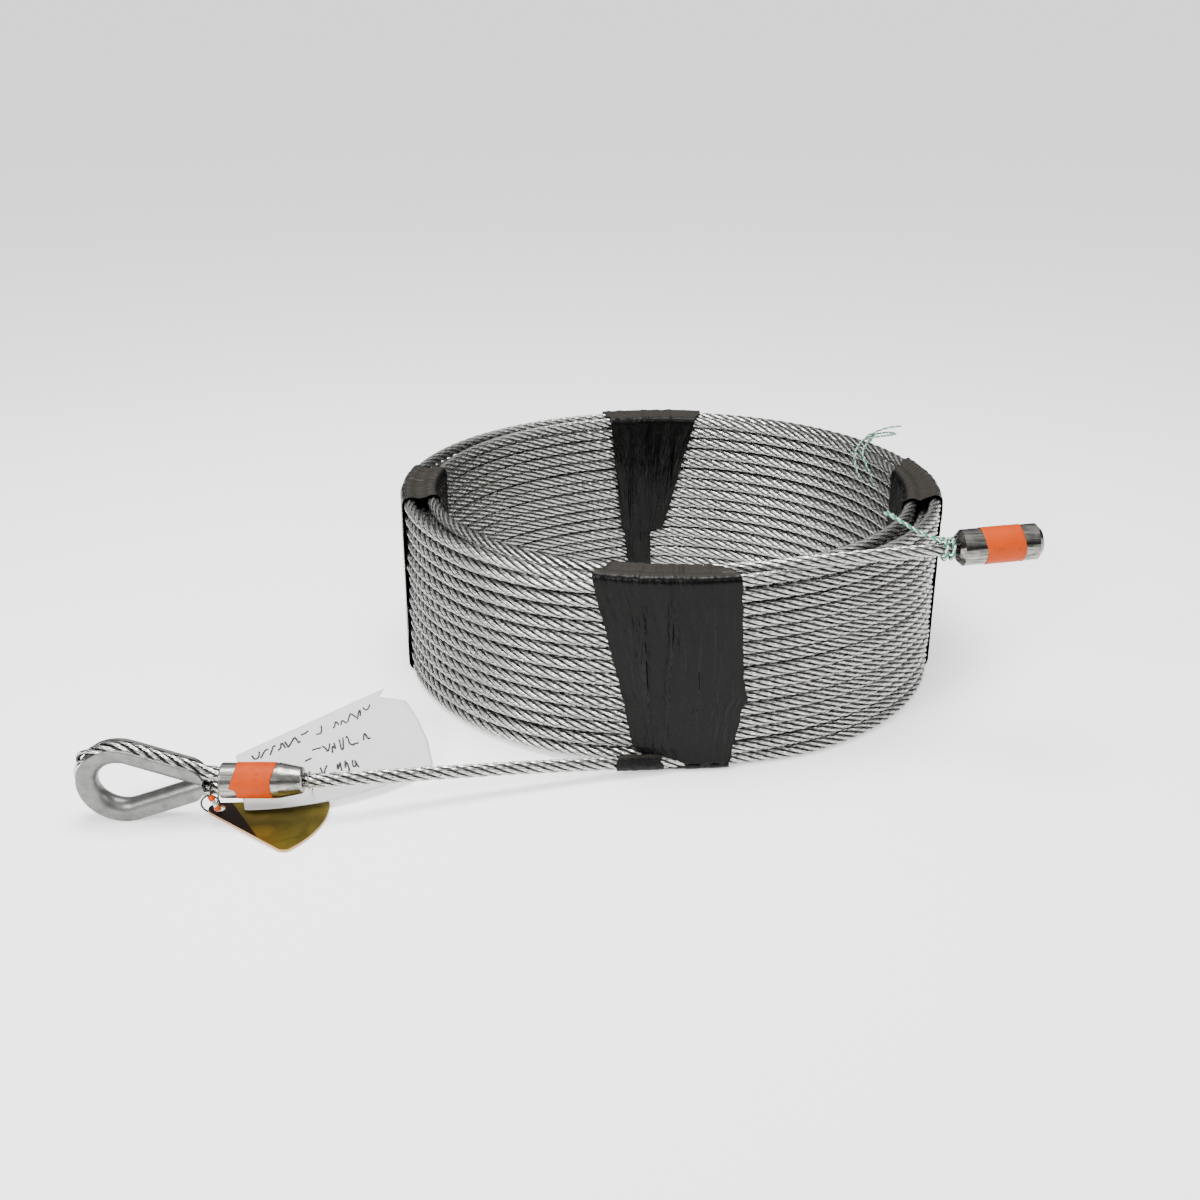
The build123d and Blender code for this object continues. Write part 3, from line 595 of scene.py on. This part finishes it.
def wall_outline():
    """The coil wall's section with round corners, up the outer side, over the top and down the inner side:
    distance along, radius, height, and the outward direction's two parts."""
    radius_out = COIL_R + TAPE_LIFT - TAPE_CORNER
    radius_in = COIL_R - WALL - TAPE_LIFT + TAPE_CORNER
    low, high = CAD_BOX[0].z + 0.4 * MM + TAPE_CORNER, COIL_HI.z + TAPE_LIFT - TAPE_CORNER
    rows = []
    for corner, (centre_r, centre_z) in enumerate([(radius_out, high), (radius_in, high), (radius_in, low),
                                                   (radius_out, low)]):
        for angle in np.radians(np.linspace(90 * corner, 90 * corner + 90, 7)):
            rows.append((centre_r + TAPE_CORNER * math.cos(angle), centre_z + TAPE_CORNER * math.sin(angle),
                         math.cos(angle), math.sin(angle)))
    rows = np.array([(rows[-1][0], rows[-1][1], 1, 0)] + rows[:-1] + [(rows[-1][0], rows[-1][1], 1, 0)])
    along = np.concatenate([[0], np.cumsum(np.hypot(np.diff(rows[:, 0]), np.diff(rows[:, 1])))])
    return along, rows


OUTLINE_AT, OUTLINE = wall_outline()
SIDE_AT = [0, OUTLINE_AT[4], OUTLINE_AT[11], OUTLINE_AT[18], OUTLINE_AT[-1]]


def coil_tape(name, angle, edges, folds, wrinkle, seed):
    """A band of tape round the coil's wall. Edges are (side, left, right) in mm, with side 0 at the outer
    foot, 1 at the outer top, 2 at the inner top and 3 at the inner foot. Folds are (place, slant, from, to,
    height)."""
    sides = [e[0] for e in edges]
    left = [e[1] * MM for e in edges]
    right = [e[2] * MM for e in edges]

    def place(u, v):
        along = v * OUTLINE_AT[-1]
        side = np.interp(along, SIDE_AT, [0, 1, 2, 3, 4])
        radius, height, out_r, out_z = (np.interp(along, OUTLINE_AT, OUTLINE[:, k]) for k in range(4))
        ragged = 0.8 * MM * noise.noise(Vector((v * 40, round(u) * 7, seed)))
        across = np.interp(side, sides, left) * (1 - u) + np.interp(side, sides, right) * u + ragged
        pull = noise.noise(Vector((across / MM * 0.22, along / MM * 0.02, seed)))
        fine = noise.noise(Vector((across / MM * 0.6, along / MM * 0.05, seed + 9)))
        rise = wrinkle * (0.6 * pull + 0.3 * fine) * MM
        for spot, slant, start, end, size in folds:
            if start <= side <= end:
                off = across / MM - spot - slant * (side - start)
                fade = math.sin(math.pi * (side - start) / (end - start))
                rise += size * MM * fade * math.exp(-(off / (2.6 if off < 0 else 0.35)) ** 2)
        if out_z > 0.9:
            middle = (radius - (COIL_R - WALL / 2)) / (WALL / 2)
            rise = max(rise, -0.2 * MM) - 1.5 * MM * max(0, 1 - (middle / 0.5) ** 2)
        edge = min(u, 1 - u)
        rise = max(rise, -0.1 * MM) if out_z < 0.9 else rise
        rise += 0.3 * MM * max(0, 1 - edge / 0.03)
        if out_z < -0.2:
            rise = min(rise, 0.1 * MM)
        turn = math.radians(angle) + across / COIL_R
        reach = radius + rise * out_r
        return (AXIS.x + reach * math.cos(turn), AXIS.y + reach * math.sin(turn), height + rise * out_z)

    piece = mapped_grid(name + "_wound", 110, 150, place, "black")
    thicken(piece, 0.35 * MM)
    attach(piece, "rope_assembly")
    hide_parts(name)
    return piece


coil_tapes = [
    coil_tape("front_tape", -90,
              [(0, -13, 29), (0.1, -27, 31.5), (0.3, -32, 36), (0.36, -33.5, 39), (0.46, -36, 36),
               (1, -52, 33), (2, -44, 30), (3, -30, 30), (4, -13, 29)],
              [(-17, -6, 0.05, 1.05, 2.6), (-8, 3, 0.05, 0.95, 2.2), (9, 2, 0.1, 0.85, 1.6),
               (3, -3, 0.25, 0.9, 1.5), (-26, -6, 0.4, 1.0, 1.3), (22, -6, 0.1, 1.0, 1.0),
               (-5, 0, 0.5, 1.0, 1.2)],
              1.3, 1.0),
    coil_tape("right_tape", 0,
              [(0, -30, 45), (1, -34, 51), (1.4, -38, 46), (1.6, -46, 36), (2, -50, 24), (3, -44, 24),
               (4, -30, 45)],
              [(-6, 2, 0.0, 1.0, 0.8), (22, -3, 0.1, 0.9, 0.8), (-20, 2, 2.0, 3.0, 0.8)],
              1.3, 5.0),
    coil_tape("back_tape", 90,
              [(0, -30, 41), (1, -31, 45), (2, -30, 44.5), (2.735, -3, 34), (2.76, 9, 31), (3, 7, 28),
               (4, -30, 41)],
              [(12, 2, 2.02, 2.5, 1.8), (4, 6, 2.05, 2.6, 1.9), (-12, 14, 2.05, 2.6, 2.2),
               (20, 0, 0.1, 0.9, 0.9), (28, -3, 2.05, 2.9, 1.6)],
              1.0, 9.0),
    coil_tape("left_tape", 180,
              [(0, -30, 38), (1, -32, 42), (2, -30, 36), (3, -26, 30), (4, -30, 38)],
              [(8, 2, 0.0, 1.0, 0.8), (-12, -2, 0.1, 0.9, 0.8), (4, 2, 2.0, 3.0, 0.8)],
              1.2, 14.0),
]


# ---- the paper label and its marks ---------------------------------------------------------
# corners of the sheet as it lies, the far right one lifted: near left, near right, far right, far left
SHEET = [Vector(p) * MM for p in ((64.8, 2.4, -20.2), (164.1, 51.4, -19.2),
                                  (151.0, 132.6, 3.5), (45.8, 64.8, -20.2))]
SHEET_SAG = 12 * MM
SHEET_THICK = 0.35 * MM
# how far each line along the sheet reaches: the far right corner is rounded and torn
REACH_AT = [0, 0.25, 0.5, 0.75, 0.85, 0.93, 0.965, 1]
REACH = [1, 0.985, 0.944, 0.888, 0.81, 0.742, 0.762, 0.777]


def on_sheet(u, v):
    """The point of the sheet at shares u of its length and v of its width."""
    near = SHEET[0].lerp(SHEET[1], u)
    far = SHEET[3].lerp(SHEET[2], u)
    point = near.lerp(far, v)
    sag = SHEET_SAG * (1 - v) ** 2 * math.sin(math.pi * min(u, 1)) ** 0.8 if u > 0 else 0
    return point + Vector((0.25 * sag, -sag, 0))


def sheet_place(u, v):
    """The torn outline on the sheet, with a little waviness."""
    point = on_sheet(u * np.interp(v, REACH_AT, REACH), v)
    wave = 0.5 * MM * noise.noise(point * 30) * v
    return point + Vector((0, 0, wave + SHEET_THICK))


paper_sheet = mapped_grid("paper_sheet", 48, 56, sheet_place, "paper")
thicken(paper_sheet, SHEET_THICK)
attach(paper_sheet, "paper_label")
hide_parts("paper_tag")


def pen_stroke(name, places, pen, finish):
    """One drawn line as a thin raised bead through those places."""
    line = nurbs_line(places, 4)
    return loft(name, strand_rings(line, (0.31, 0.2, 0.93), 1.0, 0, pen, 6), finish)


def scribble(name, rows, glyph, lift, pen, finish, spot, seed):
    """Rows of made-up marks of three to five bends each. Rows are (across, from, to, height) in shares of the
    sheet."""
    chance = random.Random(seed)
    strokes = []
    for across, start, end, height in rows:
        at = start
        while at < end:
            bends = chance.choice((3, 4, 4, 5))
            places = []
            for bend in range(bends):
                u = at + glyph * 0.75 * (bend / (bends - 1) + chance.uniform(-0.35, 0.35))
                v = across + height * chance.choice((-0.5, 0.5)) * chance.uniform(0.5, 1)
                places.append(spot(u, v) + Vector((0, 0, lift)))
            strokes.append(pen_stroke(f"{name}_{len(strokes)}", places, pen, finish))
            at += glyph * chance.choice((1, 1, 1, 1.9))
    return join(name, strokes)


WRITING = [(0.82, 0.08, 0.72, 0.12), (0.55, 0.34, 0.64, 0.15), (0.3, 0.4, 0.62, 0.13)]
GLYPH = 0.042                          # of the sheet's length
INK_RISE, PEN = 0.3 * MM, 0.5 * MM
writing = scribble("paper_writing", WRITING, GLYPH, SHEET_THICK + INK_RISE, PEN, "ink", on_sheet, 4)
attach(writing, "paper_label")

# ---- twine ------------------------------------------------------------------------------------
TAIL_AHEAD = (Vector(TAIL[-1]) - Vector(TAIL[-2])).normalized()
TAIL_SIDE = TAIL_AHEAD.cross(UP).normalized()
TAIL_OVER = TAIL_SIDE.cross(TAIL_AHEAD)


def twine(name, route, yarn):
    """Two-ply twine along a route: a green yarn and a pale one laid round each other."""
    line = nurbs_line(route, 10)
    plies = [loft(f"{name}_{finish}", strand_rings(line, (0.3, 0.2, 0.93), 5 * MM, yarn * 0.9, yarn, 8,
                                                   start=start), finish)
             for finish, start in (("green", 0), ("pale", math.pi))]
    return plies


def round_neck(back, turns, start, reach):
    """Places of a wrap round the rope's neck, beginning so far back from the button's face."""
    places = []
    for k in range(int(turns * 10) + 1):
        angle = math.radians(start) + 2 * math.pi * k / 10
        along = Vector(TAIL[-1]) - TAIL_AHEAD * (back - 2.4 * MM * k / 10)
        places.append(along + reach * (math.cos(angle) * TAIL_SIDE + math.sin(angle) * TAIL_OVER))
    return places


neck_parts = []
neck_parts += twine("neck_a", [Vector(p) * MM for p in ((425, 93, 122.5), (430, 88, 121), (440, 83, 116))]
                    + round_neck(9.4 * MM, 1.2, 60, 6.1 * MM), 0.62 * MM)
neck_parts += twine("neck_b", [Vector(p) * MM for p in ((427, 95, 122.6), (434, 87, 119), (445, 82, 113))]
                    + round_neck(5.0 * MM, 1.2, 80, 6.0 * MM), 0.62 * MM)
neck_twine = join("neck_twine_plied", neck_parts)
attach(neck_twine, "rope_assembly")
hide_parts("neck_twine")

# the coil's rear tie: a knot on top of the wall, a cut tail and a loop to its right, two ends inside the wall
REAR = {
    "rear_knot": ((455, 330, 96), (458, 334, 99.5), (462, 337, 98), (459, 333, 95.4), (455, 330, 97),
                  (458, 336, 99), (463, 338, 97), (459, 334, 95.2)),
    "rear_tail": ((459, 335, 98), (467, 339, 103), (482, 340, 103.5)),
    "rear_loop": ((459, 335, 97.5), (468, 340, 99), (481, 340, 98), (472, 340, 96.2), (460, 336, 96)),
    "rear_end_a": ((456, 331, 98), (450, 318, 99), (443.5, 303, 97.5), (441.8, 301, 88), (446, 291.5, 78)),
    "rear_end_b": ((458, 332, 97.5), (453, 312, 99), (446, 295, 98), (448.4, 287, 90), (453.6, 272, 79)),
    "rear_round": ((458, 334, 97.6), (463, 343, 95), (459, 345.5, 88), (455, 343, 80)),
}
rear_parts = []
for name, places in REAR.items():
    rear_parts += twine(name, [Vector(p) * MM for p in places], 0.5 * MM)
rear_twine = join("rear_twine_plied", rear_parts)
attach(rear_twine, "rope_assembly")
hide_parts("wrap_twine")


# ---- the tag's marker bar ------------------------------------------------------------------------
def bar_run(name, start, end, radius, finish):
    """A straight round run between two places, its ends a little narrower."""
    places = [start.lerp(end, share) for share in (0, 0.12, 0.5, 0.88, 1)]
    rings = strand_rings(np.array([tuple(p) for p in places]), (0, 1, 0), 1.0, 0, radius, 16)
    middle = rings.mean(axis=1)[:, None, :]
    narrow = np.array([0.7, 1, 1, 1, 0.7])[:, None, None]
    return loft(name, middle + (rings - middle) * narrow, finish)


# low and close to the hinge, so that the bar clears the rope's legs and the sleeve over the whole swing
BAR_TOP = Vector((48.6, -5.6, -6.6)) * MM
BAR_FOOT = Vector((53.4, -7.6, -14.8)) * MM
BAR_RUNS = {                           # from, to, radius and finish of each run
    "bar_top": (0, 0.33, 1.7 * MM, "orange"),
    "bar_middle": (0.25, 0.75, 1.3 * MM, "crimp"),
    "bar_foot": (0.7, 1, 1.6 * MM, "orange"),
}
marker_bar = join("marker_bar", [bar_run(name, BAR_TOP.lerp(BAR_FOOT, start), BAR_TOP.lerp(BAR_FOOT, end),
                                         radius, finish)
                                 for name, (start, end, radius, finish) in BAR_RUNS.items()])
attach(marker_bar, "tag_hanger")
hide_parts("wire_ferrule", "ferrule_bands")


# ---- coloured tape on the sleeve and the button ---------------------------------------------------
def colour_band(node, centre, ahead, radius, width, left, right, seed):
    """A turn and a bit of marking tape, its edges where hand tearing left them. Left and right give the
    edges' offsets in mm against height across the band, from -1 at its foot to 1 on top."""
    side = ahead.cross(UP).normalized()
    over = side.cross(ahead)

    def place(u, v):
        angle = 2 * math.pi * 1.08 * v + math.radians(200)
        height = math.sin(angle)
        fray = 0.35 * MM * noise.noise(Vector((v * 45, round(u) * 5, seed)))
        start = -width / 2 + MM * float(np.interp(height, *left))
        end = width / 2 + MM * float(np.interp(height, *right))
        along = start * (1 - u) + end * u + (fray if u in (0, 1) else 0)
        pucker = 0.12 * MM * max(0, noise.noise(Vector((along / MM * 0.4, v * 14, seed + 3))))
        reach = radius + 0.14 * MM * v + pucker
        return centre + along * ahead + reach * (math.cos(angle) * side + height * over)

    piece = mapped_grid(node + "_wound", 24, 120, place, "orange")
    thicken(piece, 0.12 * MM)
    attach(piece, "rope_assembly")
    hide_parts(node)
    return piece


SLEEVE_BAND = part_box("sleeve_tape")
colour_band("sleeve_tape", (SLEEVE_BAND[0] + SLEEVE_BAND[1]) / 2, Vector((1, 0, 0)), 9.95 * MM, 21.9 * MM,
            ([-1, -0.1, -0.02, 0.9, 1], [1.5, 0.3, -3.0, 0.3, 0.3]),
            ([-1, -0.5, 0.5, 1], [0, -2.0, -2.2, 0]), 2.0)
BUTTON_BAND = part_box("button_tape")
button_band = colour_band("button_tape", (BUTTON_BAND[0] + BUTTON_BAND[1]) / 2, TAIL_AHEAD,
                          10.65 * MM, 23 * MM, ([-1, 0, 1], [0.6, 1.2, -0.8]),
                          ([-1, 0, 1], [-0.2, 0.3, -0.9]), 7.0)


PATCH_START, PATCH_LENGTH = 272 * MM, 26 * MM


def lead_patch():
    """A torn scrap of the black tape that holds the lead against the foot of the coil."""
    line = nurbs_line(LEAD, 24)

    def place(u, v):
        ragged = 2.4 * MM * noise.noise(Vector((v * 5, round(u) * 9, 3.3)))
        x = PATCH_START + PATCH_LENGTH * u + ragged * abs(2 * u - 1)
        centre = Vector([float(np.interp(x, line[:, 0], line[:, k])) for k in range(3)])
        turn = math.radians(-125 + 240 * v)
        reach = ROPE_D / 2 + 0.8 * MM + 0.35 * MM * noise.noise(Vector((u * 7, v * 5, 8.1)))
        return centre + reach * Vector((0, -math.cos(turn), math.sin(turn)))

    piece = mapped_grid("lead_patch", 40, 40, place, "black")
    thicken(piece, 0.3 * MM)
    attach(piece, "rope_assembly")
    return piece


scrap = lead_patch()

# ---- the rope's strands and heart -------------------------------------------------------
for piece in rope_strands:
    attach(piece, "rope_assembly")
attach(rope_heart_piece, "rope_assembly")
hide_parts("rope_lead", "rope_coil", "rope_tail")


# ---- floor and light --------------------------------------------------------------------
FLOOR_SIZE = 120
SOFT_BOXES = {                         # place, width and watts
    "overhead": ((0.15, 0.1, 1.1), 0.6, 22),
    "front_left": ((-0.8, -1.1, 1.0), 0.4, 26),
    "right": ((1.5, -0.5, 0.8), 0.6, 7),
}


def studio():
    """A white sweep that the assembly stands on, under a sky bright overhead and dim at the sides, and three
    soft boxes: their small bright shapes give each wire its glint and leave the gaps dark."""
    bpy.ops.object.select_all(action="DESELECT")
    bpy.ops.mesh.primitive_plane_add(size=FLOOR_SIZE, location=(AXIS.x, AXIS.y, CAD_BOX[0].z))
    floor = bpy.context.object
    floor.name = "floor"
    material, tree, shader = new_material("white_sweep", Roughness=0.9)
    place = add(tree, "TexCoord").outputs["Object"]
    cloud = add(tree, "TexNoise", {"Vector": place, "Scale": 3})
    tone = blend(tree, cloud.outputs["Fac"], "f9f9f8", "fdfdfc")
    plug(tree, shader, Base_Color=tone)
    shader.inputs["Emission Color"].default_value = linear("ffffff")
    shader.inputs["Emission Strength"].default_value = 0.8
    floor.data.materials.append(material)
    world = bpy.data.worlds.new("studio")
    world.use_nodes = True
    tree = world.node_tree
    toward = add(tree, "SeparateXYZ", {0: add(tree, "TexCoord").outputs["Generated"]})
    strength = add(tree, "MapRange", {"Value": toward.outputs["Z"], "From Min": 0.25, "From Max": 0.95,
                                      "To Min": 0.12, "To Max": 1.3})
    sky = tree.nodes["Background"]
    sky.inputs["Color"].default_value = linear("f6f7f9")
    tree.links.new(strength.outputs["Result"], sky.inputs["Strength"])
    bpy.context.scene.world = world
    middle = Vector((AXIS.x, AXIS.y, 0))
    for name, (place, size, power) in SOFT_BOXES.items():
        light_data = bpy.data.lights.new(name, "AREA")
        light_data.size = size
        light_data.energy = power
        light = bpy.data.objects.new(name, light_data)
        light.location = place
        light.rotation_euler = (middle - Vector(place)).to_track_quat("-Z", "Y").to_euler()
        bpy.context.scene.collection.objects.link(light)


studio()
